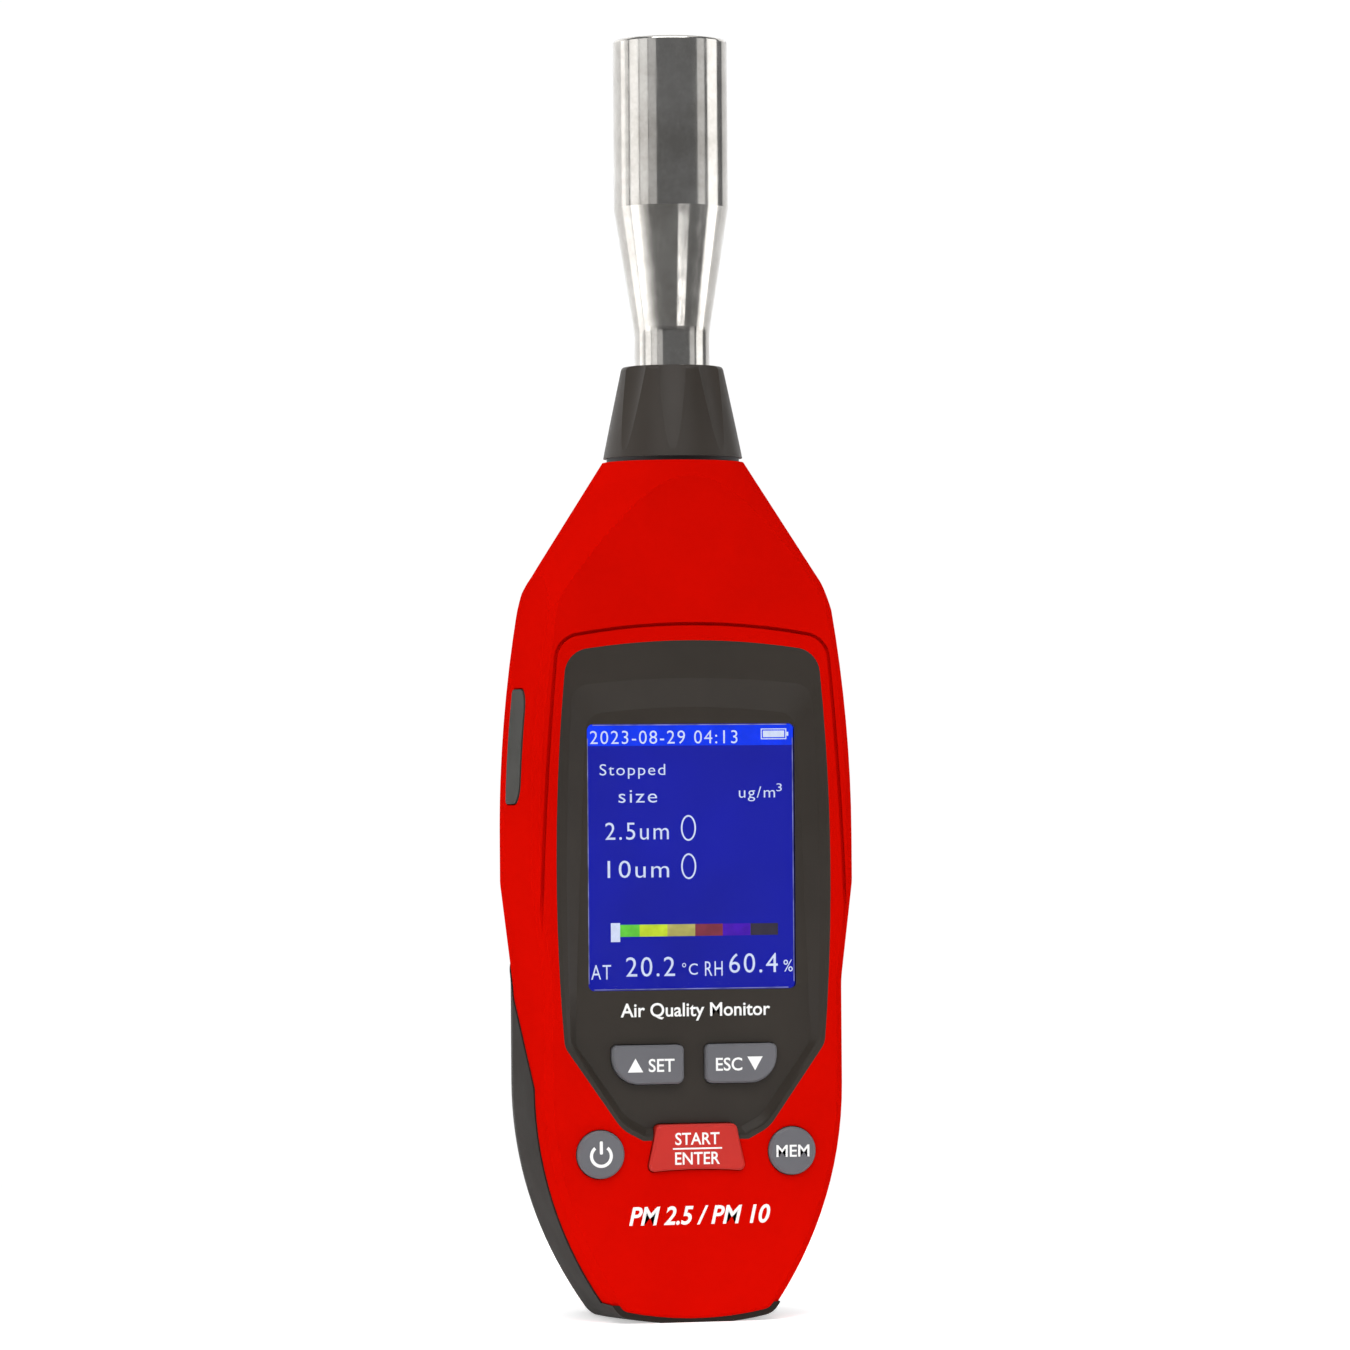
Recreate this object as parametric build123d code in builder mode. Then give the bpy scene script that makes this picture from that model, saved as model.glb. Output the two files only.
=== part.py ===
from build123d import *
import os
from math import cos, radians, sin

os.makedirs("parts", exist_ok=True)

# A hand-held particle counter. Millimetres. X to the right seen from the front, Y from the front to the
# back, Z up along the instrument. The origin is at the centre of the foot it stands on.

# ---- driving dimensions ----
TOP_Z = 205.0               # mouth of the sampling inlet
FRONT_Y = -14.2             # flat front face
KEY_FACE_Y = -15.0          # faces of the proud keys
SPLIT_Y = 4.8               # where the front and rear covers meet
REAR_Y = 14.75              # flat rear face
AXIS_Y = -1.2               # axis of the sampling inlet
NECK_Z = 137.0              # top of the red neck
WALL = 2.6                  # cover wall
BOOT_T = 1.2                # rubber boot let into the covers
BOOT_PROUD = 0.25           # and standing proud of them
BOOT_FRONT_Y = -7.3         # its front edge on the sides
BOOT_TOE_Z = 2.9            # the part under the foot that reaches the front
BOOT_TOE_INSET = 2.6
FRONT_DRAFT = 3.8
REAR_DRAFT = 8.0
REAR_ROUND = 6.5
NECK_ANGLE = 32.35          # slope of the neck's cone
FRONT_BEVEL = 1.15

GRIP_W = 25.45              # half widths of the body at the split
BODY_W = 27.35
GRIP_Z = 54.0
WAIST_Z = 69.5

INLET_R = 9.2
INLET_BORE_R = 8.0
INLET_TUBE_R = 6.05
PASSAGE_R = 2.0
COLLAR_TOP_Z = 152.4
COLLAR_Z = NECK_Z + 0.7

DISH_DEPTH = 1.5            # the panel's dished floor below its rim
BEZEL_FLANGE = 1.6
BEZEL_BACK_Y = FRONT_Y + 2.8
SCREEN_W = 33.9
SCREEN_H = 42.3
SCREEN_Z = 73.8

KEY_TRAVEL = 0.6
KEY_GAP = 0.15
ROUND_KEY_R = 3.8
ROUND_KEY_X = 15.6
ROUND_KEY_Z = 26.9
SOFT_KEY_X = 7.6
SOFT_KEY_Z = 40.9
SOFT_KEY_W = 11.6
SOFT_KEY_H = 6.2
START_TOP_Z = 31.4
START_FOOT_Z = 23.9
START_TOP_W = 12.8
START_FOOT_W = 16.1

BOARD_FRONT_Y = -6.4
BOARD_T = 1.6
BOARD_BACK_Y = BOARD_FRONT_Y + BOARD_T
SWITCH_TOP_Y = BOARD_FRONT_Y - 3.0

COVER_Z = 91.5              # side port
COVER_LENGTH = 18.3
COVER_FRONT_Y = -6.3
COVER_REAR_Y = 1.7
COVER_T = 1.3
COVER_PROUD = 0.2
COVER_SLOT = 0.2
COVER_FREE_ROUND = 3.6      # corners of its free edge, and of its hinged edge
COVER_HINGE_ROUND = 0.7

DOOR_Z = (19.5, 75.5)
DOOR_HALF_W = 15.8
DOOR_T = 1.8
TRAY_Z = (22.0, 69.0)
TRAY_HALF_W = 14.8
TRAY_WALL = 1.2
TRAY_FLOOR_Y = 3.2

TRIPOD_Z = 82.0
TRIPOD_R = 2.55             # minor radius of a 1/4-20 thread
TRIPOD_DEPTH = 6.0
FAN_Z = 99.5
FAN_SIZE = 24.0
FAN_Y = (4.2, 12.1)
CHAMBER_Z = (84.0, 113.0)
CHAMBER_HALF_W = 15.0
CHAMBER_Y = (-4.2, 3.4)

COLLAR_FOOT_R = 11.2
COLLAR_TOP_R = 8.4
FLUTES = 8                  # shallow finger flutes, deepest at the collar's top
FLUTE_R = 7.0
FLUTE_DEPTH = 0.5
FLUTE_FOOT = (10.28, 142.5)  # where they run out on the collar's cone
BUSH_TOP_Z = 145.5
SPIGOT_Z = 134.0            # the inlet's spigot stands in the bush, its nipple in the hose
NIPPLE_Z = 125.0
TAPER_Z = (158.0, 178.0)
BEAM_Z = 101.0
LASER_R = 2.8
LASER_Y = -0.4
FAN_BORE_R = 11.0
FAN_PIN_R = 0.8
FAN_BLADES = 7
INSERT_R = 4.0
DOOR_SCREW_Z = 73.0
CONTACT_X = (-3.0, 0.0, 3.0)
CONTACT_Z = 66.0
CONTACT_R = 0.5
LCD_HALF_W = 19.6
LCD_T = 2.8
LCD_Z = (47.5, 99.5)
BOARD_Z = (17.0, 112.0)
STANDOFFS = [(-18.0, 34.5), (18.0, 34.5), (-17.0, 109.3), (17.0, 109.3)]
BOARD_SCREW_R = 0.8
SOCKET_X = (-24.2, -18.4)
SOCKET_Y = (BOARD_BACK_Y, BOARD_BACK_Y + 2.9)
SOCKET_HALF_H = 3.9
KEY_CENTRES = {
    "set_key": (-SOFT_KEY_X, SOFT_KEY_Z),
    "esc_key": (SOFT_KEY_X, SOFT_KEY_Z),
    "start_key": (0.0, (START_TOP_Z + START_FOOT_Z) / 2),
    "power_key": (-ROUND_KEY_X, ROUND_KEY_Z),
    "mem_key": (ROUND_KEY_X, ROUND_KEY_Z),
}

POSTS = [(-10.4, 13.4), (10.4, 13.4), (-13.5, 119.0), (13.5, 119.0)]
POST_R = 2.8
SCREW_R = 1.1
SCREW_HEAD_R = 2.2


def at_y(y):
    """The upright plane at this depth, with X to the right and Z up; it looks forwards."""
    return Plane.XZ.offset(-y)


def box(x, y, z):
    """A block between the given pairs of limits."""
    middle = (sum(x) / 2, sum(y) / 2, sum(z) / 2)
    with Locations(middle):
        Box(x[1] - x[0], y[1] - y[0], z[1] - z[0])


def rod_y(x, z, radius, y, mode=Mode.ADD):
    """A round bar or hole along Y, between the pair of depths y."""
    with BuildSketch(at_y(y[1])) as section:
        with Locations((x, z)):
            Circle(radius)
    extrude(section.sketch, amount=y[1] - y[0], mode=mode)


def rod_z(x, y, radius, z, mode=Mode.ADD):
    """A round bar or hole along Z, between the pair of heights z."""
    with BuildSketch(Plane.XY.offset(z[0])) as section:
        with Locations((x, y)):
            Circle(radius)
    extrude(section.sketch, amount=z[1] - z[0], mode=mode)


# ---- the body's outer form, and the same form moved inwards ----
def body_outline(inset):
    """The body seen from the front, at the split, moved inwards by inset."""
    with BuildSketch(mode=Mode.PRIVATE) as outline:
        with BuildLine():
            foot = ThreePointArc((-13.0, 0.25), (0, -1.3), (13.0, 0.25))
            lower = TangentArc((GRIP_W, 37.5), foot @ 1, tangent=(0, -1))
            waist = Polyline(lower @ 0, (GRIP_W, GRIP_Z), (BODY_W, WAIST_Z), (BODY_W, 77))
            side = TangentArc(waist @ 1, (23.0, 120), tangent=(0, 1))
            neck = Line(side @ 1, (9.65, NECK_Z + 4))
            mirror(about=Plane.YZ)
            Line(neck @ 1, (-9.65, NECK_Z + 4))
        make_face()
        fillet(outline.vertices().filter_by(lambda v: v.Y < 2), 4.0)
        fillet(outline.vertices().filter_by(lambda v: abs(v.Y - GRIP_Z) < 1), 20.0)
        fillet(outline.vertices().filter_by(lambda v: abs(v.Y - WAIST_Z) < 1), 10.0)
        fillet(outline.vertices().filter_by(lambda v: 115 < v.Y < 125), 8.0)
    if not inset:
        return outline.sketch_local
    moved = outline.sketch_local.face().outer_wire().offset_2d(-inset, Kind.INTERSECTION)
    with BuildSketch(mode=Mode.PRIVATE) as inner:
        with BuildLine():
            for edge in moved.edges():
                if edge.geom_type == GeomType.LINE:
                    Line(edge @ 0, edge @ 1)
                else:
                    ThreePointArc(edge @ 0, edge @ 0.5, edge @ 1)
        make_face()
    return inner.sketch_local


def shoulder_form(inset):
    """The round cone that the neck and shoulders follow, about the inlet's axis."""
    inwards = (inset * cos(radians(NECK_ANGLE)), inset * sin(radians(NECK_ANGLE)))
    cheek = (23.55 - inwards[0], 117.8 - inwards[1])
    neck = (10.25 - inwards[0], 138.8 - inwards[1])
    with BuildPart(mode=Mode.PRIVATE) as form:
        with BuildSketch(at_y(AXIS_Y)):
            with BuildLine():
                wall = Line((28.8 - inset, -10), (28.8 - inset, 98.8))
                TangentArc(wall @ 1, cheek, tangent=(0, 1))
                Polyline(cheek, neck, (0, neck[1]), (0, -10), wall @ 0)
            make_face()
        revolve(axis=Axis((0, AXIS_Y, 0), (0, 0, 1)))
    return form.part


def drafted_block(section, depth, direction, angle):
    """A section carried along Y from its own plane, its walls leaning inwards by angle."""
    root_y = section.center().Y
    with BuildPart(mode=Mode.PRIVATE) as block:
        extrude(section, amount=depth, dir=(0, direction, 0))
        walls = block.faces().filter_by(lambda face: abs(face.normal_at(face.center()).Y) < 0.5)
        draft(walls, Plane(origin=(0, root_y, 0), z_dir=(0, direction, 0)), angle)
    return block.part


def body_form(inset, bevel=0.0):
    """The whole body as one closed form, moved inwards by inset."""
    with BuildSketch(at_y(SPLIT_Y), mode=Mode.PRIVATE) as split_section:
        add(body_outline(inset))
    split_face = split_section.sketch.face()
    front = drafted_block(split_face, SPLIT_Y - FRONT_Y - inset - bevel, -1, FRONT_DRAFT)
    rear = drafted_block(split_face, REAR_Y - inset - SPLIT_Y, 1, REAR_DRAFT)
    with BuildPart(mode=Mode.PRIVATE) as form:
        add(front)
        if bevel:
            add(drafted_block(front.faces().sort_by(Axis.Y)[0], bevel, -1, 45))
        add(rear)
        fillet(form.faces().sort_by(Axis.Y)[-1].edges(), REAR_ROUND - inset)
        add(shoulder_form(inset), mode=Mode.INTERSECT)
        split(bisect_by=Plane.XY.offset(NECK_Z - inset), keep=Keep.BOTTOM)
        split(bisect_by=Plane.XY.offset(BOOT_PROUD + inset), keep=Keep.TOP)
    return form.part


outer = body_form(0, FRONT_BEVEL)
cavity = body_form(WALL)
boot_outside = body_form(-BOOT_PROUD)
boot_inside = body_form(BOOT_T)
skin_bottom = body_form(DOOR_T)
flap_outside = body_form(-COVER_PROUD)
flap_inside = body_form(COVER_T)


# ---- outlines on the front face ----
def panel_outline(inset=0.0):
    """The dark panel: arched top, bowed sides, and a foot that narrows towards the start key."""
    with BuildSketch(mode=Mode.PRIVATE) as outline:
        with BuildLine():
            top = ThreePointArc((-20.5, 106.4), (0, 108.2), (20.5, 106.4))
            side = ThreePointArc(top @ 1, (22.35, 72), (21.2, 43.9))
            foot = Polyline(side @ 1, (12.0, 30.7), (8.6, 28.9))
            Line(foot @ 1, (-8.6, 28.9))
            mirror(side, about=Plane.YZ)
            mirror(foot, about=Plane.YZ)
        make_face()
        fillet(outline.vertices().filter_by(lambda v: v.Y > 100), 4.2)
        fillet(outline.vertices().filter_by(lambda v: abs(v.Y - 30.7) < 0.1), 6.0)
        fillet(outline.vertices().filter_by(lambda v: 40 < v.Y < 50), 3.5)
        if inset:
            offset(amount=-inset, kind=Kind.INTERSECTION, mode=Mode.REPLACE)
    return outline.sketch_local


def dish_outline(top_z, side_x, side_foot_x, foot):
    """The dish inside the panel's rim, with the same corners as the panel's outline."""
    with BuildSketch(mode=Mode.PRIVATE) as outline:
        with BuildLine():
            top = ThreePointArc((-side_x + 1.1, top_z - 1.2), (0, top_z), (side_x - 1.1, top_z - 1.2))
            side = ThreePointArc(top @ 1, (side_x, 72), (side_foot_x, 44.3))
            lower = Polyline(side @ 1, (12.0 - foot / 2, 30.7 + foot), (8.6 - foot / 2, 28.9 + foot))
            Line(lower @ 1, (-8.6 + foot / 2, 28.9 + foot))
            mirror(side, about=Plane.YZ)
            mirror(lower, about=Plane.YZ)
        make_face()
        fillet(outline.vertices().filter_by(lambda v: v.Y > 90), 3.0)
        fillet(outline.vertices().filter_by(lambda v: abs(v.Y - 30.7 - foot) < 0.1), 6.0)
        fillet(outline.vertices().filter_by(lambda v: 40 < v.Y < 50), 3.0)
    return outline.sketch_local


def groove_outline():
    """The outer line of the groove round the raised frame."""
    with BuildSketch(mode=Mode.PRIVATE) as outline:
        with BuildLine():
            top = ThreePointArc((-22.2, 108.8), (0, 111.1), (22.2, 108.8))
            side = ThreePointArc(top @ 1, (24.7, 74), (25.2, 36))
            Line(side @ 1, (-25.2, 36))
            mirror(side, about=Plane.YZ)
        make_face()
        fillet(outline.vertices().filter_by(lambda v: v.Y > 100), 4.5)
    return outline.sketch_local


def soft_key_outline(side, inset=0.0):
    """The set and esc keys: nearly square, with one large outer lower corner. side is -1 or 1."""
    with BuildSketch(mode=Mode.PRIVATE) as outline:
        with Locations((side * SOFT_KEY_X, SOFT_KEY_Z)):
            Rectangle(SOFT_KEY_W, SOFT_KEY_H)
        low = outline.vertices().filter_by(lambda v: v.Y < SOFT_KEY_Z)
        fillet(low.sort_by(lambda v: side * v.X)[-1], 4.4)
        fillet(outline.vertices().filter_by(lambda v: v.Y > SOFT_KEY_Z + 3), 0.9)
        fillet(outline.vertices().filter_by(lambda v: side * v.X < SOFT_KEY_X - 5.7).sort_by(Axis.Y)[0], 1.2)
        if inset:
            offset(amount=-inset, mode=Mode.REPLACE)
    return outline.sketch_local


def start_key_outline(inset=0.0):
    """The start key: wider at its foot, which is slightly hollow."""
    with BuildSketch(mode=Mode.PRIVATE) as outline:
        with BuildLine():
            Line((-START_TOP_W / 2, START_TOP_Z), (START_TOP_W / 2, START_TOP_Z))
            Line((START_TOP_W / 2, START_TOP_Z), (START_FOOT_W / 2, START_FOOT_Z))
            ThreePointArc((START_FOOT_W / 2, START_FOOT_Z), (0, START_FOOT_Z + 0.4), (-START_FOOT_W / 2, START_FOOT_Z))
            Line((-START_FOOT_W / 2, START_FOOT_Z), (-START_TOP_W / 2, START_TOP_Z))
        make_face()
        fillet(outline.vertices(), 0.9)
        if inset:
            offset(amount=-inset, mode=Mode.REPLACE)
    return outline.sketch_local


def round_key_outline(side, inset=0.0):
    with BuildSketch(mode=Mode.PRIVATE) as outline:
        with Locations((side * ROUND_KEY_X, ROUND_KEY_Z)):
            Circle(ROUND_KEY_R - inset)
    return outline.sketch_local


def key_openings():
    """All five key openings, a little larger than the keys."""
    with BuildSketch(mode=Mode.PRIVATE) as outline:
        add(soft_key_outline(-1, -KEY_GAP))
        add(soft_key_outline(1, -KEY_GAP))
        add(start_key_outline(-KEY_GAP))
        add(round_key_outline(-1, -KEY_GAP))
        add(round_key_outline(1, -KEY_GAP))
    return outline.sketch_local


def window_outline(width, height, corner):
    with BuildSketch(mode=Mode.PRIVATE) as outline:
        with Locations((0, SCREEN_Z)):
            RectangleRounded(width, height, corner)
    return outline.sketch_local


def prism(sketch, y, mode=Mode.ADD):
    """An outline carried along Y between the pair of depths y."""
    with BuildSketch(at_y(y[1])) as section:
        add(sketch)
    extrude(section.sketch, amount=y[1] - y[0], mode=mode)


# ---- rubber boot round the lower sides and the foot ----
with BuildPart() as bumper_boot:
    add(boot_outside)
    add(boot_inside, mode=Mode.SUBTRACT)
    # its upper edge climbs from its front edge to the back
    with BuildSketch(Plane.YZ) as above_boot:
        with BuildLine():
            Polyline((-20, 22.3), (SPLIT_Y, 51.2), (20, 63.6), (20, 160), (-20, 160), (-20, 22.3))
        make_face()
    extrude(amount=40, both=True, mode=Mode.SUBTRACT)
    # in front it stops part way along the sides, and reaches the front's edge only under the foot
    with BuildSketch(at_y(BOOT_FRONT_Y)):
        with Locations((0, BOOT_TOE_Z + 80)):
            Rectangle(80, 160)
    extrude(amount=10, mode=Mode.SUBTRACT)
    with BuildSketch(at_y(BOOT_FRONT_Y)):
        add(body_outline(BOOT_TOE_INSET))
    extrude(amount=10, mode=Mode.SUBTRACT)
    with BuildSketch(at_y(FRONT_Y + 0.4)):
        with Locations((0, 50)):
            Rectangle(80, 160)
    extrude(amount=10, mode=Mode.SUBTRACT)
    # behind, it only frames the edge
    with BuildSketch(at_y(20)) as rear_window:
        with BuildLine():
            wall = ThreePointArc((9.5, 8.0), (16.2, 19.5), (19.2, 34))
            Polyline(wall @ 1, (19.2, 90), (-19.2, 90), (-19.2, 34))
            mirror(wall, about=Plane.YZ)
            Line((-9.5, 8.0), (9.5, 8.0))
        make_face()
        fillet(rear_window.vertices().filter_by(lambda v: v.Y < 9), 3.0)
    extrude(amount=20 - SPLIT_Y, mode=Mode.SUBTRACT)

# ---- port cover: a rubber flap let into the left wall ----
COVER_Y = (COVER_FRONT_Y + COVER_REAR_Y) / 2
COVER_W = COVER_REAR_Y - COVER_FRONT_Y


def flap_outline(grow=0.0):
    """The flap seen from the left: square at its hinge, rounded at its free edge."""
    with BuildSketch(mode=Mode.PRIVATE) as outline:
        with Locations((COVER_Y, COVER_Z)):
            Rectangle(COVER_W + 2 * grow, COVER_LENGTH + 2 * grow)
        fillet(outline.vertices().filter_by(lambda v: v.X < COVER_Y), COVER_FREE_ROUND)
        fillet(outline.vertices().filter_by(lambda v: v.X > COVER_REAR_Y - 0.5), COVER_HINGE_ROUND)
    return outline.sketch_local


with BuildPart() as port_cover:
    add(flap_outside)
    add(flap_inside, mode=Mode.SUBTRACT)
    with BuildSketch(Plane.YZ.offset(-20)):
        add(flap_outline())
    extrude(amount=-10, mode=Mode.INTERSECT)

with BuildPart() as cover_seat:
    with BuildSketch(Plane.YZ.offset(-20)):
        add(flap_outline(COVER_SLOT))
    extrude(amount=-12)
    add(flap_inside, mode=Mode.SUBTRACT)

# ---- bezel: a dished dark panel with a rim, keyed into the front cover ----
with BuildPart() as bezel:
    prism(panel_outline(), (FRONT_Y, FRONT_Y + BEZEL_FLANGE))
    prism(panel_outline(1.2), (FRONT_Y + BEZEL_FLANGE, BEZEL_BACK_Y))
    with BuildSketch(at_y(FRONT_Y)):
        add(dish_outline(107.6, 21.75, 20.6, 0.7))
    with BuildSketch(at_y(FRONT_Y + 0.35)):
        add(dish_outline(102.2, 20.6, 20.1, 0.9))
    with BuildSketch(at_y(FRONT_Y + DISH_DEPTH)):
        add(dish_outline(97.6, 18.2, 19.2, 1.9))
    loft(ruled=True, mode=Mode.SUBTRACT)
    with BuildSketch(at_y(BEZEL_BACK_Y)):
        add(window_outline(SCREEN_W, SCREEN_H, 1.0))
    extrude(amount=10, mode=Mode.SUBTRACT)
    prism(key_openings(), (FRONT_Y - 1, BEZEL_BACK_Y), Mode.SUBTRACT)

# ---- front cover, with its frame ring, key openings and screw posts ----
with BuildPart() as front_cover:
    add(outer)
    add(cavity, mode=Mode.SUBTRACT)
    for x, z in POSTS:
        rod_y(x, z, POST_R, (FRONT_Y + WALL - 0.5, SPLIT_Y))
        rod_y(x, z, SCREW_R, (FRONT_Y + WALL + 4, SPLIT_Y), Mode.SUBTRACT)
    split(bisect_by=Plane.XZ.offset(-SPLIT_Y), keep=Keep.TOP)
    add(bumper_boot.part, mode=Mode.SUBTRACT)
    prism(panel_outline(), (FRONT_Y - 1, FRONT_Y + BEZEL_FLANGE), Mode.SUBTRACT)
    prism(panel_outline(1.2), (FRONT_Y - 1, FRONT_Y + 4), Mode.SUBTRACT)
    prism(key_openings(), (FRONT_Y - 1, FRONT_Y + 4), Mode.SUBTRACT)
    for x, z in STANDOFFS:
        rod_y(x, z, 2.0, (FRONT_Y + WALL - 0.4, BOARD_FRONT_Y))
        rod_y(x, z, BOARD_SCREW_R, (BOARD_FRONT_Y - 4.0, BOARD_FRONT_Y), Mode.SUBTRACT)
    with BuildSketch(at_y(FRONT_Y + 0.6)) as groove:
        add(groove_outline())
        offset(groove_outline(), amount=-0.55, kind=Kind.INTERSECTION, mode=Mode.SUBTRACT)
        with Locations((0, 30)):
            Rectangle(80, 16, mode=Mode.SUBTRACT)
    extrude(amount=1.6, mode=Mode.SUBTRACT)
    rod_z(0, AXIS_Y, 7.4, (NECK_Z - WALL - 4, NECK_Z + 1), Mode.SUBTRACT)
    add(cover_seat.part, mode=Mode.SUBTRACT)
    with Locations((-24.5, (SOCKET_Y[0] + SOCKET_Y[1]) / 2, COVER_Z)):
        Box(6, SOCKET_Y[1] - SOCKET_Y[0] + 1.2, 9.4, mode=Mode.SUBTRACT)

# ---- rear cover, with its battery tray, tripod boss, vents and screw posts ----
TRAY_MIDDLE = sum(TRAY_Z) / 2
TRAY_H = TRAY_Z[1] - TRAY_Z[0]
DOOR_MIDDLE = sum(DOOR_Z) / 2
DOOR_H = DOOR_Z[1] - DOOR_Z[0]
REAR_WALL_Y = REAR_Y - WALL

with BuildPart() as door_seat:
    with BuildSketch(at_y(REAR_Y + 2)):
        with Locations((0, DOOR_MIDDLE)):
            RectangleRounded(2 * DOOR_HALF_W, DOOR_H, 2.5)
    extrude(amount=8)
    add(skin_bottom, mode=Mode.SUBTRACT)

with BuildPart() as rear_cover:
    add(outer)
    add(cavity, mode=Mode.SUBTRACT)
    for x, z in POSTS:
        rod_y(x, z, POST_R, (SPLIT_Y, REAR_WALL_Y + 0.5))
        rod_y(x, z, SCREW_R, (SPLIT_Y, REAR_Y), Mode.SUBTRACT)
        rod_y(x, z, SCREW_HEAD_R, (REAR_Y - 2.75, REAR_Y + 1), Mode.SUBTRACT)
    split(bisect_by=Plane.XZ.offset(-SPLIT_Y), keep=Keep.BOTTOM)
    add(bumper_boot.part, mode=Mode.SUBTRACT)
    # battery tray, open to the back
    box((-TRAY_HALF_W - TRAY_WALL, TRAY_HALF_W + TRAY_WALL), (TRAY_FLOOR_Y - TRAY_WALL, REAR_WALL_Y + 0.1),
        (TRAY_Z[0] - TRAY_WALL, TRAY_Z[1] + TRAY_WALL))
    with Locations((0, (TRAY_FLOOR_Y + REAR_Y + 2) / 2, TRAY_MIDDLE)):
        Box(2 * TRAY_HALF_W, REAR_Y + 2 - TRAY_FLOOR_Y, TRAY_H, mode=Mode.SUBTRACT)
    for x in CONTACT_X:
        rod_y(x, CONTACT_Z, CONTACT_R, (0, 6), Mode.SUBTRACT)
    # boss of the door's screw
    rod_y(0, DOOR_SCREW_Z, 2.6, (6.0, REAR_WALL_Y + 0.1))
    add(door_seat.part, mode=Mode.SUBTRACT)
    rod_y(0, DOOR_SCREW_Z, SCREW_R, (7.0, REAR_Y), Mode.SUBTRACT)
    with Locations((0, REAR_WALL_Y + 0.8, DOOR_Z[0] - 0.5)):
        Box(16.4, 1.7, 1.7, mode=Mode.SUBTRACT)
    # boss of the tripod insert
    rod_y(0, TRIPOD_Z, 5.4, (7.2, REAR_WALL_Y + 0.1))
    rod_y(0, TRIPOD_Z, INSERT_R, (REAR_Y - TRIPOD_DEPTH - 0.6, REAR_Y + 1), Mode.SUBTRACT)
    # exhaust vents behind the fan
    with BuildSketch(at_y(REAR_Y + 1)):
        with Locations((0, FAN_Z)):
            with GridLocations(0, 2.8, 1, 7):
                SlotOverall(18, 1.4)
    extrude(amount=4, mode=Mode.SUBTRACT)
    rod_z(0, AXIS_Y, 7.4, (NECK_Z - WALL - 4, NECK_Z + 1), Mode.SUBTRACT)

with BuildPart() as battery_door:
    add(outer)
    add(skin_bottom, mode=Mode.SUBTRACT)
    with BuildSketch(at_y(REAR_Y + 2)):
        with Locations((0, DOOR_MIDDLE)):
            RectangleRounded(2 * DOOR_HALF_W - 0.3, DOOR_H - 0.3, 2.35)
    extrude(amount=8, mode=Mode.INTERSECT)
    # a lip under the cover's edge, finger grooves, and the screw's countersunk seat
    with Locations((0, REAR_WALL_Y + 1.2, DOOR_Z[0] + 0.1)):
        Box(15.6, 0.8, 1.9)
    with BuildSketch(at_y(REAR_Y)):
        with Locations((0, DOOR_Z[0] + 9)):
            with GridLocations(0, 2.4, 1, 4):
                SlotOverall(14, 1.2)
    extrude(amount=0.5, both=True, mode=Mode.SUBTRACT)
    rod_y(0, DOOR_SCREW_Z, SCREW_R, (REAR_Y - 3, REAR_Y + 1), Mode.SUBTRACT)
    rod_y(0, DOOR_SCREW_Z, SCREW_HEAD_R, (REAR_Y - 1.1, REAR_Y + 1), Mode.SUBTRACT)


def cross_screw(x, z, head_y, head_t, tip_y, radius, head_r):
    """A pan-head screw along Y with a cross recess; its head's outer face is at head_y."""
    rod_y(x, z, head_r, (head_y - head_t, head_y))
    rod_y(x, z, radius, (tip_y, head_y - head_t))
    with Locations((x, head_y, z)):
        Box(head_r * 1.2, 1.0, 0.45, mode=Mode.SUBTRACT)
        Box(0.45, 1.0, head_r * 1.2, mode=Mode.SUBTRACT)


with BuildPart() as door_screw:
    cross_screw(0, DOOR_SCREW_Z, REAR_Y - 0.1, 1.0, 8.0, SCREW_R, 2.0)

with BuildPart() as case_screws:
    for x, z in POSTS:
        cross_screw(x, z, REAR_Y - 1.15, 1.6, FRONT_Y + WALL + 6, SCREW_R, 2.1)

with BuildPart() as board_screws:
    for x, z in STANDOFFS:
        cross_screw(x, z, BOARD_BACK_Y + 1.2, 1.2, BOARD_FRONT_Y - 3.5, BOARD_SCREW_R, 1.6)

with BuildPart() as tripod_insert:
    rod_y(0, TRIPOD_Z, INSERT_R, (REAR_Y - TRIPOD_DEPTH - 0.6, REAR_Y))
    rod_y(0, TRIPOD_Z, TRIPOD_R, (REAR_Y - TRIPOD_DEPTH, REAR_Y + 1), Mode.SUBTRACT)

# ---- inlet ----
with BuildPart() as inlet_probe:
    with BuildSketch(at_y(AXIS_Y)) as probe_half:
        with BuildLine():
            Polyline(
                (PASSAGE_R, NIPPLE_Z), (2.9, NIPPLE_Z), (2.9, SPIGOT_Z), (4.0, SPIGOT_Z), (4.0, BUSH_TOP_Z + 1),
                (INLET_TUBE_R, BUSH_TOP_Z + 1), (INLET_TUBE_R, TAPER_Z[0]), (INLET_R, TAPER_Z[1]), (INLET_R, TOP_Z),
                (INLET_BORE_R, TOP_Z), (INLET_BORE_R, TAPER_Z[1] + 2), (PASSAGE_R, TAPER_Z[0] + 1),
                (PASSAGE_R, NIPPLE_Z))
        make_face()
        fillet(probe_half.vertices().filter_by(lambda v: v.Y > TOP_Z - 1), 0.5)
        outside = probe_half.vertices().filter_by(lambda v: v.X > INLET_TUBE_R - 0.1)
        fillet(outside.filter_by(lambda v: TAPER_Z[0] - 1 < v.Y < TAPER_Z[0] + 0.5), 9.0)
        fillet(outside.filter_by(lambda v: TAPER_Z[1] - 1 < v.Y < TAPER_Z[1] + 0.5), 1.5)
    revolve(axis=Axis((0, AXIS_Y, 0), (0, 0, 1)))

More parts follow.
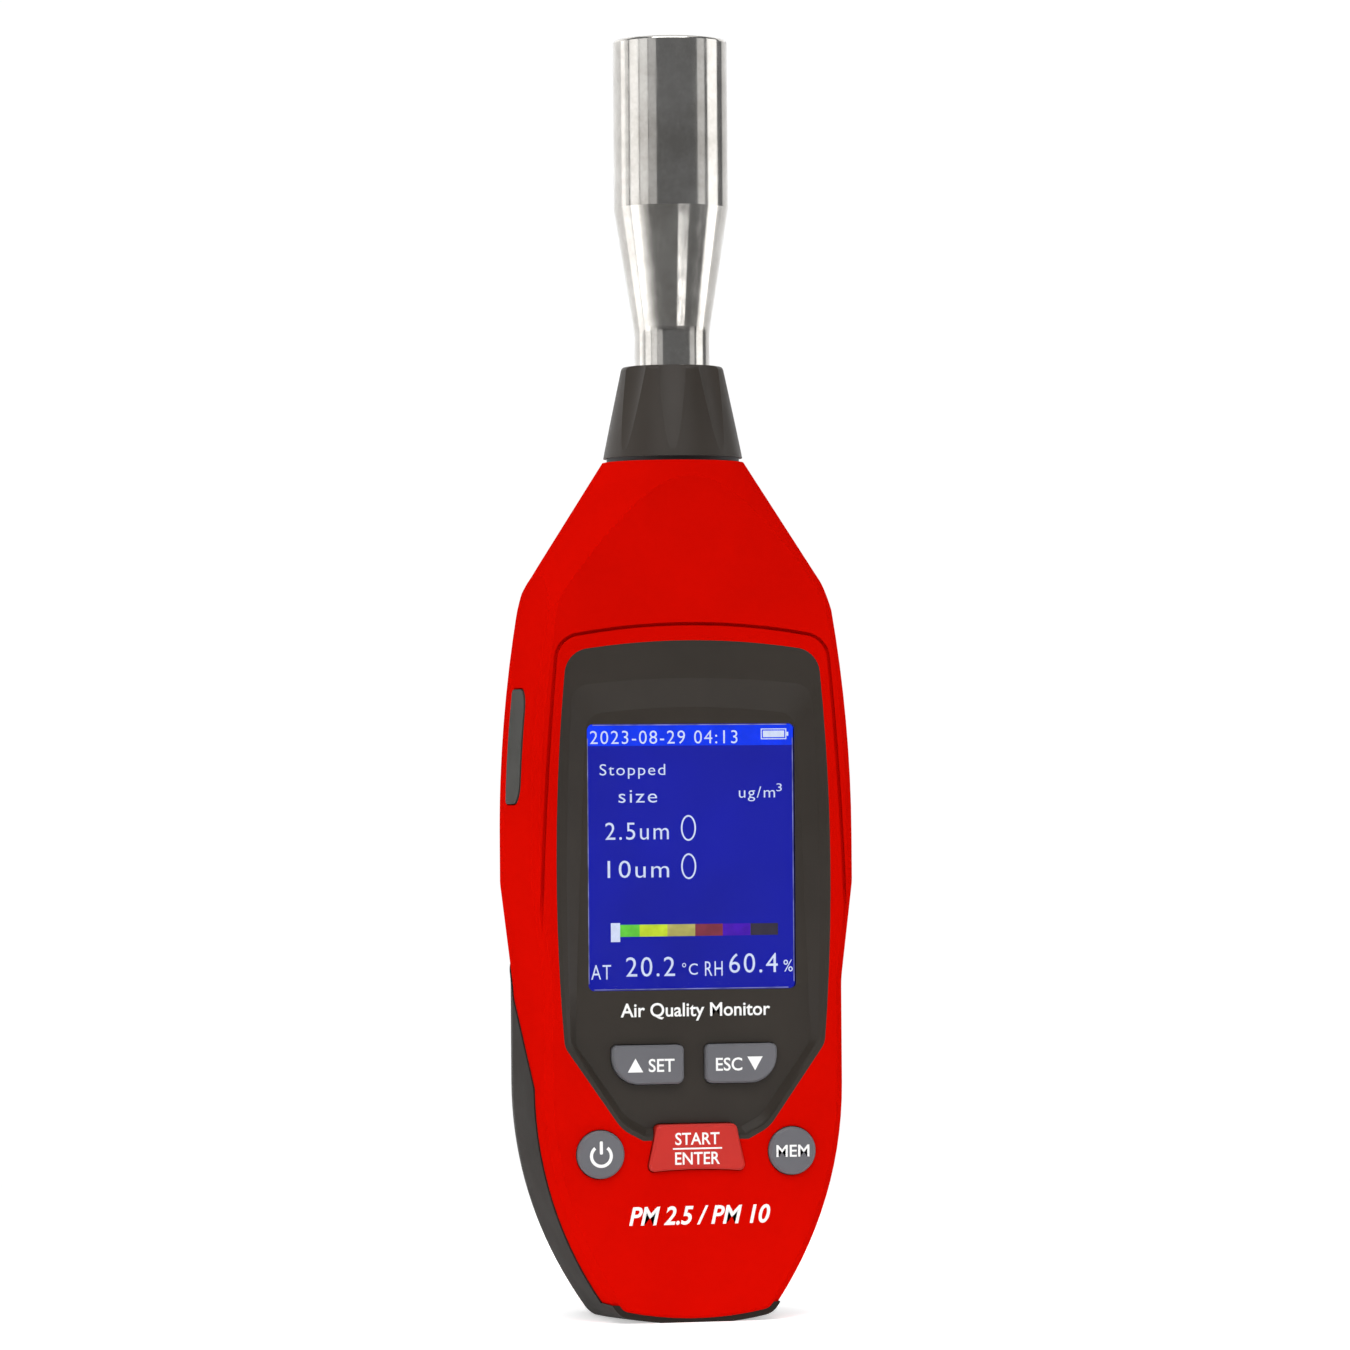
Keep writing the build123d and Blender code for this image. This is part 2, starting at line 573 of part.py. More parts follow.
with BuildPart(mode=Mode.PRIVATE) as flute_cutter:
    flute_top = Vector(COLLAR_TOP_R - FLUTE_DEPTH + FLUTE_R, 0, COLLAR_TOP_Z)
    flute_lean = Vector(FLUTE_FOOT[0] + FLUTE_R, 0, FLUTE_FOOT[1]) - flute_top
    with BuildSketch(Plane(origin=flute_top, z_dir=flute_lean)) as flute_section:
        Circle(FLUTE_R)
    extrude(flute_section.sketch, amount=1.2 * flute_lean.length, both=True)

with BuildPart() as inlet_collar:
    with BuildSketch(at_y(AXIS_Y)) as collar_half:
        with BuildLine():
            Polyline(
                (7.4, COLLAR_Z), (COLLAR_FOOT_R, COLLAR_Z), (COLLAR_TOP_R, COLLAR_TOP_Z),
                (INLET_TUBE_R, COLLAR_TOP_Z), (INLET_TUBE_R, BUSH_TOP_Z + 1), (7.4, BUSH_TOP_Z + 1), (7.4, COLLAR_Z))
        make_face()
        fillet(collar_half.vertices().group_by(Axis.Y)[-1].sort_by(Axis.X)[-1], 0.9)
    revolve(axis=Axis((0, AXIS_Y, 0), (0, 0, 1)))
    for flute in range(FLUTES):
        turn = -13 - 90 + 360 * flute / FLUTES
        add(Location((0, AXIS_Y, 0), (0, 0, turn)) * flute_cutter.part, mode=Mode.SUBTRACT)

with BuildPart() as collar_seal:
    rod_z(0, AXIS_Y, 10.65, (NECK_Z, COLLAR_Z))
    rod_z(0, AXIS_Y, 7.4, (NECK_Z, COLLAR_Z), Mode.SUBTRACT)

with BuildPart() as neck_bush:
    rod_z(0, AXIS_Y, 7.4, (NECK_Z - WALL, BUSH_TOP_Z))
    rod_z(0, AXIS_Y, 9.0, (NECK_Z - WALL - 2.4, NECK_Z - WALL))
    rod_z(0, AXIS_Y, 6.0, (SPIGOT_Z - 3, NECK_Z - WALL))
    rod_z(0, AXIS_Y, 4.0, (SPIGOT_Z - 3, BUSH_TOP_Z), Mode.SUBTRACT)

with BuildPart() as probe_seal:
    rod_z(0, AXIS_Y, 6.0, (BUSH_TOP_Z, BUSH_TOP_Z + 1))
    rod_z(0, AXIS_Y, 4.0, (BUSH_TOP_Z, BUSH_TOP_Z + 1), Mode.SUBTRACT)

with BuildPart() as inlet_tube:
    rod_z(0, AXIS_Y, 3.9, (CHAMBER_Z[1] + 0.5, NIPPLE_Z + 4))
    rod_z(0, AXIS_Y, 2.9, (CHAMBER_Z[1] + 0.5, NIPPLE_Z + 4), Mode.SUBTRACT)

# ---- particle sensor ----
with BuildPart() as sensor_housing:
    box((-CHAMBER_HALF_W, CHAMBER_HALF_W), CHAMBER_Y, CHAMBER_Z)
    with Locations((0, 1.4, BEAM_Z)):
        Box(18, 8, 18, mode=Mode.SUBTRACT)
    rod_z(0, AXIS_Y, 2.9, (CHAMBER_Z[1], CHAMBER_Z[1] + 5))
    rod_z(0, AXIS_Y, 1.6, (BEAM_Z, CHAMBER_Z[1] + 5), Mode.SUBTRACT)
    with BuildSketch(Plane.YZ.offset(-CHAMBER_HALF_W)):
        with Locations((LASER_Y, BEAM_Z)):
            Circle(LASER_R)
    extrude(amount=CHAMBER_HALF_W, mode=Mode.SUBTRACT)
    rod_y(0, BEAM_Z, 2.4, (CHAMBER_Y[0], 0), Mode.SUBTRACT)

with BuildPart() as sensor_lid:
    box((-CHAMBER_HALF_W, CHAMBER_HALF_W), (CHAMBER_Y[1], FAN_Y[0]), CHAMBER_Z)
    rod_y(0, FAN_Z, 8.0, (CHAMBER_Y[1], FAN_Y[0]), Mode.SUBTRACT)

with BuildPart() as laser_diode:
    with BuildSketch(Plane.YZ.offset(-20.5)):
        with Locations((LASER_Y, BEAM_Z)):
            Circle(LASER_R)
    extrude(amount=11.5)
    with BuildSketch(Plane.YZ.offset(-20.5)):
        with Locations((LASER_Y, BEAM_Z)):
            Circle(LASER_R + 0.6)
    extrude(amount=1.5)

with BuildPart() as photodetector:
    rod_y(0, BEAM_Z, 2.4, (CHAMBER_Y[0] - 0.4, CHAMBER_Y[0] + 1.6))

with BuildPart() as fan_frame:
    box((-FAN_SIZE / 2, FAN_SIZE / 2), FAN_Y, (FAN_Z - FAN_SIZE / 2, FAN_Z + FAN_SIZE / 2))
    fillet(fan_frame.edges().filter_by(Axis.Y), 1.5)
    rod_y(0, FAN_Z, FAN_BORE_R, FAN_Y, Mode.SUBTRACT)
    rod_y(0, FAN_Z, 4.6, (FAN_Y[1] - 0.9, FAN_Y[1]))
    for angle in (90, 210, 330):
        with Locations(Location((0, FAN_Y[1] - 0.45, FAN_Z), (0, angle, 0))):
            with Locations((FAN_BORE_R / 2 + 2, 0, 0)):
                Box(FAN_BORE_R - 3, 0.9, 1.4)
    rod_y(0, FAN_Z, FAN_PIN_R, (FAN_Y[0] + 2, FAN_Y[1] - 0.9))

with BuildPart() as fan_rotor:
    rod_y(0, FAN_Z, 4.8, (FAN_Y[0] + 0.6, FAN_Y[1] - 1.3))
    for blade in range(FAN_BLADES):
        with Locations(Location((0, 8.0, FAN_Z), (0, 360 * blade / FAN_BLADES, 0))):
            with Locations(Location((7.4, 0, 0), (40, 0, 0))):
                Box(6.2, 5.2, 0.8)
    rod_y(0, FAN_Z, FAN_PIN_R + 0.06, (FAN_Y[0], FAN_Y[1]), Mode.SUBTRACT)

# ---- display ----
WINDOW_Y = FRONT_Y + DISH_DEPTH + 0.3
with BuildPart() as display_window:
    prism(window_outline(SCREEN_W, SCREEN_H, 1.0), (WINDOW_Y, BEZEL_BACK_Y))

with BuildPart() as lcd_module:
    box((-LCD_HALF_W, LCD_HALF_W), (BEZEL_BACK_Y, BEZEL_BACK_Y + LCD_T), LCD_Z)

with BuildPart() as lcd_frame:
    box((-LCD_HALF_W - 1.3, LCD_HALF_W + 1.3), (BEZEL_BACK_Y + 0.1, BOARD_FRONT_Y), (LCD_Z[0] - 1.3, LCD_Z[1] + 1.3))
    with Locations((0, (BEZEL_BACK_Y + BOARD_FRONT_Y) / 2, sum(LCD_Z) / 2)):
        Box(2 * LCD_HALF_W, 10, LCD_Z[1] - LCD_Z[0], mode=Mode.SUBTRACT)

with BuildPart() as lcd_flex:
    box((-7, 7), (BEZEL_BACK_Y + LCD_T, BOARD_FRONT_Y), (LCD_Z[0] + 1.5, LCD_Z[0] + 4.5))

# ---- electronics ----
with BuildPart() as main_board:
    with BuildSketch(at_y(BOARD_BACK_Y)) as board_outline:
        with Locations((0, (BOARD_Z[0] + BOARD_Z[1]) / 2)):
            Rectangle(40, BOARD_Z[1] - BOARD_Z[0])
        chamfer(board_outline.vertices().group_by(Axis.Y)[0], 6)
        chamfer(board_outline.vertices().group_by(Axis.Y)[-1], 2)
    extrude(amount=BOARD_T)
    for x, z in STANDOFFS:
        rod_y(x, z, BOARD_SCREW_R, (BOARD_FRONT_Y - 1, BOARD_BACK_Y + 1), Mode.SUBTRACT)

with BuildPart() as board_chips:
    box((-13, -4), (BOARD_BACK_Y, BOARD_BACK_Y + 1.2), (40, 49))
    box((3, 9), (BOARD_BACK_Y, BOARD_BACK_Y + 1.2), (42, 47))
    box((-12, -6), (BOARD_BACK_Y, BOARD_BACK_Y + 1.2), (26, 31))
    box((5, 12), (BOARD_BACK_Y, BOARD_BACK_Y + 2.2), (27, 34))

with BuildPart() as tact_switches:
    for x, z in KEY_CENTRES.values():
        box((x - 2.5, x + 2.5), (BOARD_FRONT_Y - 2.2, BOARD_FRONT_Y), (z - 2.5, z + 2.5))
        rod_y(x, z, 1.2, (SWITCH_TOP_Y, BOARD_FRONT_Y - 2.2))

with BuildPart() as usb_socket:
    box(SOCKET_X, SOCKET_Y, (COVER_Z - SOCKET_HALF_H, COVER_Z + SOCKET_HALF_H))
    fillet(usb_socket.edges().filter_by(Axis.X), 0.7)
    with Locations((SOCKET_X[0] + 2, sum(SOCKET_Y) / 2, COVER_Z)):
        Box(5, 2.1, 2 * SOCKET_HALF_H - 0.8, mode=Mode.SUBTRACT)
    with Locations((SOCKET_X[0] + 3, sum(SOCKET_Y) / 2, COVER_Z)):
        Box(4, 0.6, 2 * SOCKET_HALF_H - 2.6)

with BuildPart() as buzzer:
    rod_y(12, 77, 4.5, (BOARD_BACK_Y, BOARD_BACK_Y + 3))
    rod_y(12, 77, 0.8, (BOARD_BACK_Y + 2, BOARD_BACK_Y + 3), Mode.SUBTRACT)

with BuildPart() as climate_sensor:
    box((-2, 2), (BOARD_FRONT_Y - 1.1, BOARD_FRONT_Y), (104, 108))

with BuildPart() as battery:
    box((-14.2, 14.2), (TRAY_FLOOR_Y + 0.2, 12.2), (TRAY_Z[0] + 0.6, TRAY_Z[1] - 0.6))
    fillet(battery.edges().filter_by(Axis.Z), 2.0)

with BuildPart() as battery_contacts:
    for x in CONTACT_X:
        rod_y(x, CONTACT_Z, CONTACT_R, (BOARD_BACK_Y, TRAY_FLOOR_Y + 0.2))


# ---- keys: a cap, a flange behind the panel, and a stem over its switch ----
def key_cap(outline, inner_outline, flange_outline, centre, face_y, flange_y):
    """inner_outline is the cap's flat face, inside its rounded edge."""
    with BuildPart(mode=Mode.PRIVATE) as key:
        prism(outline, (face_y + 0.35, flange_y))
        with BuildSketch(at_y(face_y + 0.35)):
            add(outline)
        with BuildSketch(at_y(face_y)):
            add(inner_outline)
        loft(ruled=True)
        prism(flange_outline, (flange_y, flange_y + 0.8))
        rod_y(centre[0], centre[1], 1.2, (flange_y + 0.8, SWITCH_TOP_Y - KEY_TRAVEL - 0.1))
    return key.part


SOFT_FACE_Y = FRONT_Y + DISH_DEPTH - 1.3
FLANGE_Y = BEZEL_BACK_Y + 0.1
keys = {
    "set_key": key_cap(soft_key_outline(-1), soft_key_outline(-1, 0.3), soft_key_outline(-1, -0.8),
                       KEY_CENTRES["set_key"], SOFT_FACE_Y, FLANGE_Y),
    "esc_key": key_cap(soft_key_outline(1), soft_key_outline(1, 0.3), soft_key_outline(1, -0.8),
                       KEY_CENTRES["esc_key"], SOFT_FACE_Y, FLANGE_Y),
    "start_key": key_cap(start_key_outline(), start_key_outline(0.35), start_key_outline(-0.9),
                         KEY_CENTRES["start_key"], KEY_FACE_Y, FLANGE_Y),
    "power_key": key_cap(round_key_outline(-1), round_key_outline(-1, 0.35), round_key_outline(-1, -0.9),
                         KEY_CENTRES["power_key"], KEY_FACE_Y, FLANGE_Y),
    "mem_key": key_cap(round_key_outline(1), round_key_outline(1, 0.35), round_key_outline(1, -0.9),
                       KEY_CENTRES["mem_key"], KEY_FACE_Y, FLANGE_Y),
}

pieces = {
    "bumper_boot": bumper_boot, "port_cover": port_cover, "bezel": bezel, "front_cover": front_cover,
    "rear_cover": rear_cover, "battery_door": battery_door, "door_screw": door_screw, "case_screws": case_screws,
    "board_screws": board_screws, "tripod_insert": tripod_insert, "inlet_probe": inlet_probe,
    "inlet_collar": inlet_collar, "collar_seal": collar_seal, "neck_bush": neck_bush, "probe_seal": probe_seal,
    "inlet_tube": inlet_tube, "sensor_housing": sensor_housing, "sensor_lid": sensor_lid,
    "laser_diode": laser_diode, "photodetector": photodetector, "fan_frame": fan_frame, "fan_rotor": fan_rotor,
    "display_window": display_window, "lcd_module": lcd_module, "lcd_frame": lcd_frame, "lcd_flex": lcd_flex,
    "main_board": main_board, "board_chips": board_chips, "tact_switches": tact_switches,
    "usb_socket": usb_socket, "buzzer": buzzer, "climate_sensor": climate_sensor, "battery": battery,
    "battery_contacts": battery_contacts,
}
solids = {name: piece.part for name, piece in pieces.items()} | keys
for name, solid in solids.items():
    solid.label = name
    export_step(solid, f"parts/{name}.step")
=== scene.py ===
from math import cos, pi, radians, sin

import bmesh
import bpy
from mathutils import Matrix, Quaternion, Vector


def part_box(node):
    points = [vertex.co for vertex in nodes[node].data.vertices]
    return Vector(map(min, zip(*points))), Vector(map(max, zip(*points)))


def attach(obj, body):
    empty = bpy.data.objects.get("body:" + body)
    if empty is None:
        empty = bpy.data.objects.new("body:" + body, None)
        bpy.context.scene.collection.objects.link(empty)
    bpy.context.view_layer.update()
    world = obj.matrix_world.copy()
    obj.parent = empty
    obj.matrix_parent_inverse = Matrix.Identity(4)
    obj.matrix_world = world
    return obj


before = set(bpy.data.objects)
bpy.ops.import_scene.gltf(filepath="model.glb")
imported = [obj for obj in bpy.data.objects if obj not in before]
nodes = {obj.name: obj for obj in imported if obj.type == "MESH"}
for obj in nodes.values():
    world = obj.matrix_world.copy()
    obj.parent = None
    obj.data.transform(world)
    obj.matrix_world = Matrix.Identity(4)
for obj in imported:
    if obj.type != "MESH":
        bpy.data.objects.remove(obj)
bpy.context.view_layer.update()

MM = 0.001


# ---- materials ----
def new_material(name, roughness=0.5, metallic=0.0, **sockets):
    """A material with its Principled shader; sockets are set on the shader itself."""
    made = bpy.data.materials.new(name)
    made.use_nodes = True
    shader = made.node_tree.nodes["Principled BSDF"]
    shader.inputs["Roughness"].default_value = roughness
    shader.inputs["Metallic"].default_value = metallic
    for socket, value in sockets.items():
        shader.inputs[socket.replace("_", " ")].default_value = value
    return made


def noise(tree, scale, detail=3.0, roughness=0.55, stretch=(1, 1, 1)):
    """A noise texture in the object's own coordinates; stretch scales each axis."""
    place = tree.nodes.new("ShaderNodeTexCoord")
    mapping = tree.nodes.new("ShaderNodeMapping")
    mapping.inputs["Scale"].default_value = stretch
    texture = tree.nodes.new("ShaderNodeTexNoise")
    texture.inputs["Scale"].default_value = scale
    texture.inputs["Detail"].default_value = detail
    texture.inputs["Roughness"].default_value = roughness
    tree.links.new(place.outputs["Object"], mapping.inputs["Vector"])
    tree.links.new(mapping.outputs["Vector"], texture.inputs["Vector"])
    return texture.outputs["Fac"]


def tint(tree, socket, fac, dark, light, span=(0.35, 0.65)):
    """Drives a colour socket between two colours by a texture."""
    ramp = tree.nodes.new("ShaderNodeValToRGB")
    ramp.color_ramp.elements[0].position = span[0]
    ramp.color_ramp.elements[0].color = (*dark, 1)
    ramp.color_ramp.elements[1].position = span[1]
    ramp.color_ramp.elements[1].color = (*light, 1)
    tree.links.new(fac, ramp.inputs["Fac"])
    tree.links.new(ramp.outputs["Color"], socket)


def spread(tree, socket, fac, low, high):
    """Drives a number socket between two values by a texture."""
    mapped = tree.nodes.new("ShaderNodeMapRange")
    mapped.inputs["From Min"].default_value = 0.3
    mapped.inputs["From Max"].default_value = 0.7
    mapped.inputs["To Min"].default_value = low
    mapped.inputs["To Max"].default_value = high
    tree.links.new(fac, mapped.inputs["Value"])
    tree.links.new(mapped.outputs["Result"], socket)


def relief(tree, shader, fac, height_mm, strength=1.0):
    """Bumps the surface by a texture, height in millimetres."""
    bump = tree.nodes.new("ShaderNodeBump")
    bump.inputs["Strength"].default_value = strength
    bump.inputs["Distance"].default_value = height_mm * MM
    tree.links.new(fac, bump.inputs["Height"])
    tree.links.new(bump.outputs["Normal"], shader.inputs["Normal"])


def moulded(name, colour, roughness=0.45, grain=2600, grain_mm=0.012, vary=0.05, **sockets):
    """Moulded plastic or rubber: fine spark-eroded grain, and slow changes in colour and gloss."""
    made = new_material(name, roughness, **sockets)
    tree = made.node_tree
    shader = tree.nodes["Principled BSDF"]
    dark = tuple(c * (1 - vary) for c in colour)
    light = tuple(min(1.0, c * (1 + vary)) for c in colour)
    tint(tree, shader.inputs["Base Color"], noise(tree, 55, 4), dark, light)
    spread(tree, shader.inputs["Roughness"], noise(tree, 90, 5), roughness - 0.05, roughness + 0.06)
    relief(tree, shader, noise(tree, grain, 2), grain_mm)
    return made


def metal(name, dark, light, roughness, stretch=(1, 1, 1), scale=900, bump_mm=0.002, **sockets):
    """Bare metal: tool marks and handling marks in its gloss."""
    made = new_material(name, roughness, 1.0, **sockets)
    tree = made.node_tree
    shader = tree.nodes["Principled BSDF"]
    tint(tree, shader.inputs["Base Color"], noise(tree, 70, 6, 0.7), dark, light)
    marks = noise(tree, scale, 4, 0.6, stretch)
    spread(tree, shader.inputs["Roughness"], marks, roughness * 0.6, roughness * 1.5)
    relief(tree, shader, noise(tree, scale * 0.7, 3, 0.6, stretch), bump_mm, 0.6)
    return made


RED = (0.555, 0.0026, 0.0004)
red = moulded("red_soft_touch", RED, 0.60, 2400, 0.010, 0.035, Specular_IOR_Level=0.0)
panel = moulded("panel_dark", (0.029, 0.0235, 0.0185), 0.40, 2600, 0.006, 0.08, Specular_IOR_Level=0.25)
boot = moulded("boot_rubber", (0.0200, 0.0160, 0.0130), 0.66, 1900, 0.020, 0.10, Specular_IOR_Level=0.09)
collar = moulded("collar_dark", (0.031, 0.0245, 0.019), 0.44, 2200, 0.010, 0.08, Specular_IOR_Level=0.3)
key_grey = moulded("key_grey", (0.112, 0.112, 0.124), 0.50, 2600, 0.008, 0.06, Sheen_Weight=0.1)
key_red = moulded("key_red", (0.50, 0.017, 0.010), 0.42, 2600, 0.008, 0.05, Specular_IOR_Level=0.35)
cover_grey = moulded("cover_grey", (0.044, 0.043, 0.038), 0.62, 2000, 0.016, 0.08, Specular_IOR_Level=0.09)
seal = moulded("seal_black", (0.012, 0.012, 0.012), 0.55, 1500, 0.01, 0.1)
nylon = moulded("nylon_black", (0.018, 0.018, 0.019), 0.5, 1500, 0.015, 0.1)
sensor = moulded("sensor_black", (0.013, 0.013, 0.014), 0.6, 1800, 0.015, 0.1)
chip = moulded("chip_black", (0.012, 0.012, 0.013), 0.45, 3500, 0.006, 0.1)
white_part = moulded("white_plastic", (0.72, 0.72, 0.69), 0.4, 2000, 0.006, 0.03)
amber = moulded("flex_amber", (0.42, 0.16, 0.025), 0.3, 900, 0.004, 0.12)
tube = moulded("silicone_tube", (0.55, 0.54, 0.50), 0.35, 700, 0.01, 0.05, Subsurface_Weight=0.2)
board = moulded("board_green", (0.008, 0.075, 0.024), 0.28, 420, 0.02, 0.3)
wrap = moulded("battery_wrap", (0.018, 0.042, 0.16), 0.28, 260, 0.03, 0.1)
steel = metal("polished_steel", (0.50, 0.475, 0.44), (0.72, 0.70, 0.665), 0.125, (1, 1, 0.12), 1300, 0.0022)
bright = metal("socket_steel", (0.55, 0.55, 0.56), (0.68, 0.68, 0.69), 0.25, (1, 1, 1), 1200)
screw = metal("zinc_screw", (0.42, 0.42, 0.43), (0.56, 0.56, 0.57), 0.3, (1, 1, 1), 1600)
brass = metal("turned_brass", (0.62, 0.42, 0.16), (0.74, 0.53, 0.23), 0.22, (1, 0.1, 1), 2200)
gold = metal("gold_contact", (0.80, 0.55, 0.20), (0.90, 0.65, 0.28), 0.18)

window = new_material("window_clear", 0.03, 0.0, Transmission_Weight=1.0, IOR=1.49, Specular_IOR_Level=0.25)
window_tree = window.node_tree
window_shader = window_tree.nodes["Principled BSDF"]
tint(window_tree, window_shader.inputs["Base Color"], noise(window_tree, 60, 2),
     (0.97, 0.98, 0.99), (1.0, 1.0, 1.0))
spread(window_tree, window_shader.inputs["Roughness"], noise(window_tree, 300, 4), 0.02, 0.06)


def lit(name, colour, strength=1.0, vary=0.08, scale=120):
    """A glowing material: the display's own lit parts, and also the painted highlight along the window's edges.
    """
    made = new_material(name, 0.35, 0.0, Emission_Strength=strength, Specular_IOR_Level=0.0)
    tree = made.node_tree
    shader = tree.nodes["Principled BSDF"]
    shader.inputs["Base Color"].default_value = (0.01, 0.01, 0.012, 1)
    dark = tuple(c * (1 - vary) for c in colour)
    light = tuple(c * (1 + vary) for c in colour)
    tint(tree, shader.inputs["Emission Color"], noise(tree, scale, 2), dark, light)
    return made


lcd_blue = lit("lcd_blue", (0.0045, 0.0085, 0.36), 1.0, 0.10, 45)
lcd_bar = lit("lcd_bar", (0.002, 0.040, 0.92), 1.0, 0.10, 300)
lcd_white = lit("lcd_white", (0.66, 0.74, 0.95), 1.0, 0.05, 900)
ink = moulded("printed_ink", (0.86, 0.86, 0.85), 0.5, 3000, 0.004, 0.02)

FINISH = {
    "front_cover": red, "rear_cover": red, "battery_door": red, "bumper_boot": boot, "bezel": panel,
    "inlet_probe": steel, "inlet_collar": collar, "collar_seal": seal, "neck_bush": nylon,
    "probe_seal": seal, "inlet_tube": tube, "sensor_housing": sensor, "sensor_lid": sensor,
    "laser_diode": brass, "photodetector": sensor, "fan_frame": nylon, "fan_rotor": nylon,
    "display_window": window, "lcd_module": lcd_blue, "lcd_frame": white_part, "lcd_flex": amber,
    "main_board": board, "board_chips": chip, "tact_switches": bright, "usb_socket": bright,
    "buzzer": nylon, "climate_sensor": white_part, "battery": wrap, "battery_contacts": gold,
    "door_screw": screw, "case_screws": screw, "board_screws": screw, "tripod_insert": brass,
    "set_key": key_grey, "esc_key": key_grey, "power_key": key_grey, "mem_key": key_grey,
    "start_key": key_red, "port_cover": cover_grey,
}
for name, node in nodes.items():
    node.data.materials.clear()
    node.data.materials.append(FINISH[name])


# ---- thin printed and lit pieces, each a closed solid facing the front, sizes in millimetres ----
SUNK = 0.01             # how far a piece's back lies inside the face that carries it
INK_THICK = 0.03
LIT_THICK = 0.02


def finish_piece(mesh, name, finish, body):
    """Puts a new mesh in the scene, on its body, with its material and slot."""
    piece = bpy.data.objects.new(name, mesh)
    bpy.context.scene.collection.objects.link(piece)
    mesh.materials.clear()
    mesh.materials.append(finish)
    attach(piece, body)
    return piece


def plate(name, outlines, face_y, thick, finish, body):
    """Flat plates cut to outlines of (x, z) points in millimetres, their fronts thick in front of face_y."""
    shape = bmesh.new()
    for outline in outlines:
        back = [shape.verts.new((x * MM, (face_y + SUNK) * MM, z * MM)) for x, z in outline]
        front = [shape.verts.new((x * MM, (face_y - thick) * MM, z * MM)) for x, z in outline]
        shape.faces.new(front)
        shape.faces.new(back[::-1])
        for i in range(len(outline)):
            j = (i + 1) % len(outline)
            shape.faces.new((front[j], front[i], back[i], back[j]))
    bmesh.ops.recalc_face_normals(shape, faces=shape.faces)
    mesh = bpy.data.meshes.new(name)
    shape.to_mesh(mesh)
    shape.free()
    return finish_piece(mesh, name, finish, body)


def oblong(x, z, width, height, corner=0.0, steps=5):
    """The outline of a rectangle with rounded corners about (x, z)."""
    if not corner:
        return [(x - width / 2, z - height / 2), (x + width / 2, z - height / 2),
                (x + width / 2, z + height / 2), (x - width / 2, z + height / 2)]
    points = []
    for quarter, (sx, sz) in enumerate(((1, 1), (-1, 1), (-1, -1), (1, -1))):
        centre = (x + sx * (width / 2 - corner), z + sz * (height / 2 - corner))
        for step in range(steps + 1):
            turn = (quarter + step / steps) * pi / 2
            points.append((centre[0] + corner * cos(turn), centre[1] + corner * sin(turn)))
    return points


def arc_band(x, z, outer, inner, start, end, squash=1.0, steps=36):
    """A band along an arc, as one outline; squash narrows it sideways. Angles in degrees from the top."""
    turns = [radians(start + (end - start) * i / steps) for i in range(steps + 1)]
    points = [(x + outer * sin(t) * squash, z + outer * cos(t)) for t in turns]
    return points + [(x + inner[0] * sin(t), z + inner[1] * cos(t)) for t in reversed(turns)]


def words(name, text, x, z, height, face_y, finish, body, bold=0.0, lean=0.0, width=None,
          align="CENTER", thick=INK_THICK, spacing=1.0):
    """Printed words with their middle, left or right at (x, z). width squeezes them to that length."""
    line = bpy.data.curves.new(name, "FONT")
    line.body = text
    line.align_x = align
    line.align_y = "CENTER"
    line.size = 1.0
    line.offset = bold
    line.space_character = spacing
    line.shear = lean
    line.resolution_u = 4
    line.extrude = 0.5
    maker = bpy.data.objects.new(name + "_maker", line)
    bpy.context.scene.collection.objects.link(maker)
    bpy.context.view_layer.update()
    mesh = bpy.data.meshes.new_from_object(maker.evaluated_get(bpy.context.evaluated_depsgraph_get()))
    bpy.data.objects.remove(maker)
    across = [v.co.x for v in mesh.vertices]
    up = [v.co.y for v in mesh.vertices]
    tall = height / (max(up) - min(up))
    wide = width / (max(across) - min(across)) if width else tall
    anchor = {"CENTER": (max(across) + min(across)) / 2, "LEFT": min(across), "RIGHT": max(across)}[align]
    middle = (max(up) + min(up)) / 2
    for v in mesh.vertices:
        depth = face_y + SUNK if v.co.z < 0 else face_y - thick
        v.co = Vector((x + (v.co.x - anchor) * wide, depth, z + (v.co.y - middle) * tall)) * MM
    mesh.update()
    shape = bmesh.new()
    shape.from_mesh(mesh)
    bmesh.ops.remove_doubles(shape, verts=shape.verts, dist=1e-8)
    bmesh.ops.recalc_face_normals(shape, faces=shape.faces)
    shape.to_mesh(mesh)
    shape.free()
    mesh.name = name
    mesh.shade_flat()
    return finish_piece(mesh, name, finish, body)


# ---- the display's picture, just inside the window ----
low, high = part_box("display_window")
screen_x = (low.x / MM, high.x / MM)
screen_z = (low.z / MM, high.z / MM)
screen_w, screen_h = screen_x[1] - screen_x[0], screen_z[1] - screen_z[0]
glass_y = low.y / MM
image_y = high.y / MM - 0.08
PICTURE_Y = 0.0         # how far each layer of the picture stands in front of image_y
COLOUR_Y = 0.03
TEXT_Y = 0.05
SYMBOL_Y = 0.06
MARKER_Y = 0.07
EDGE_Y = 0.08
LCD_SPACING = 1.15


def across(share):
    """X at a share of the screen's width, from its left."""
    return screen_x[0] + share * screen_w


def down(share):
    """Z at a share of the screen's height, from its top."""
    return screen_z[1] - share * screen_h


def lit_plate(name, outlines, finish, lift):
    """Lit flat shapes, lift in front of the display's image."""
    return plate(name, outlines, image_y - lift, LIT_THICK, finish, "housing")


def lit_words(name, text, left, row, height, width, bold=-0.004):
    """A lit line of text. left, row and width are shares of the screen, height is in millimetres."""
    return words(name, text, across(left), down(row), height, image_y - TEXT_Y, lcd_white, "housing",
                 bold, 0.0, width * screen_w, "LEFT", LIT_THICK, LCD_SPACING)


middle_z = (screen_z[0] + screen_z[1]) / 2
lit_plate("lcd_picture", [oblong(0, middle_z, screen_w - 0.1, screen_h - 0.1)], lcd_blue, PICTURE_Y)
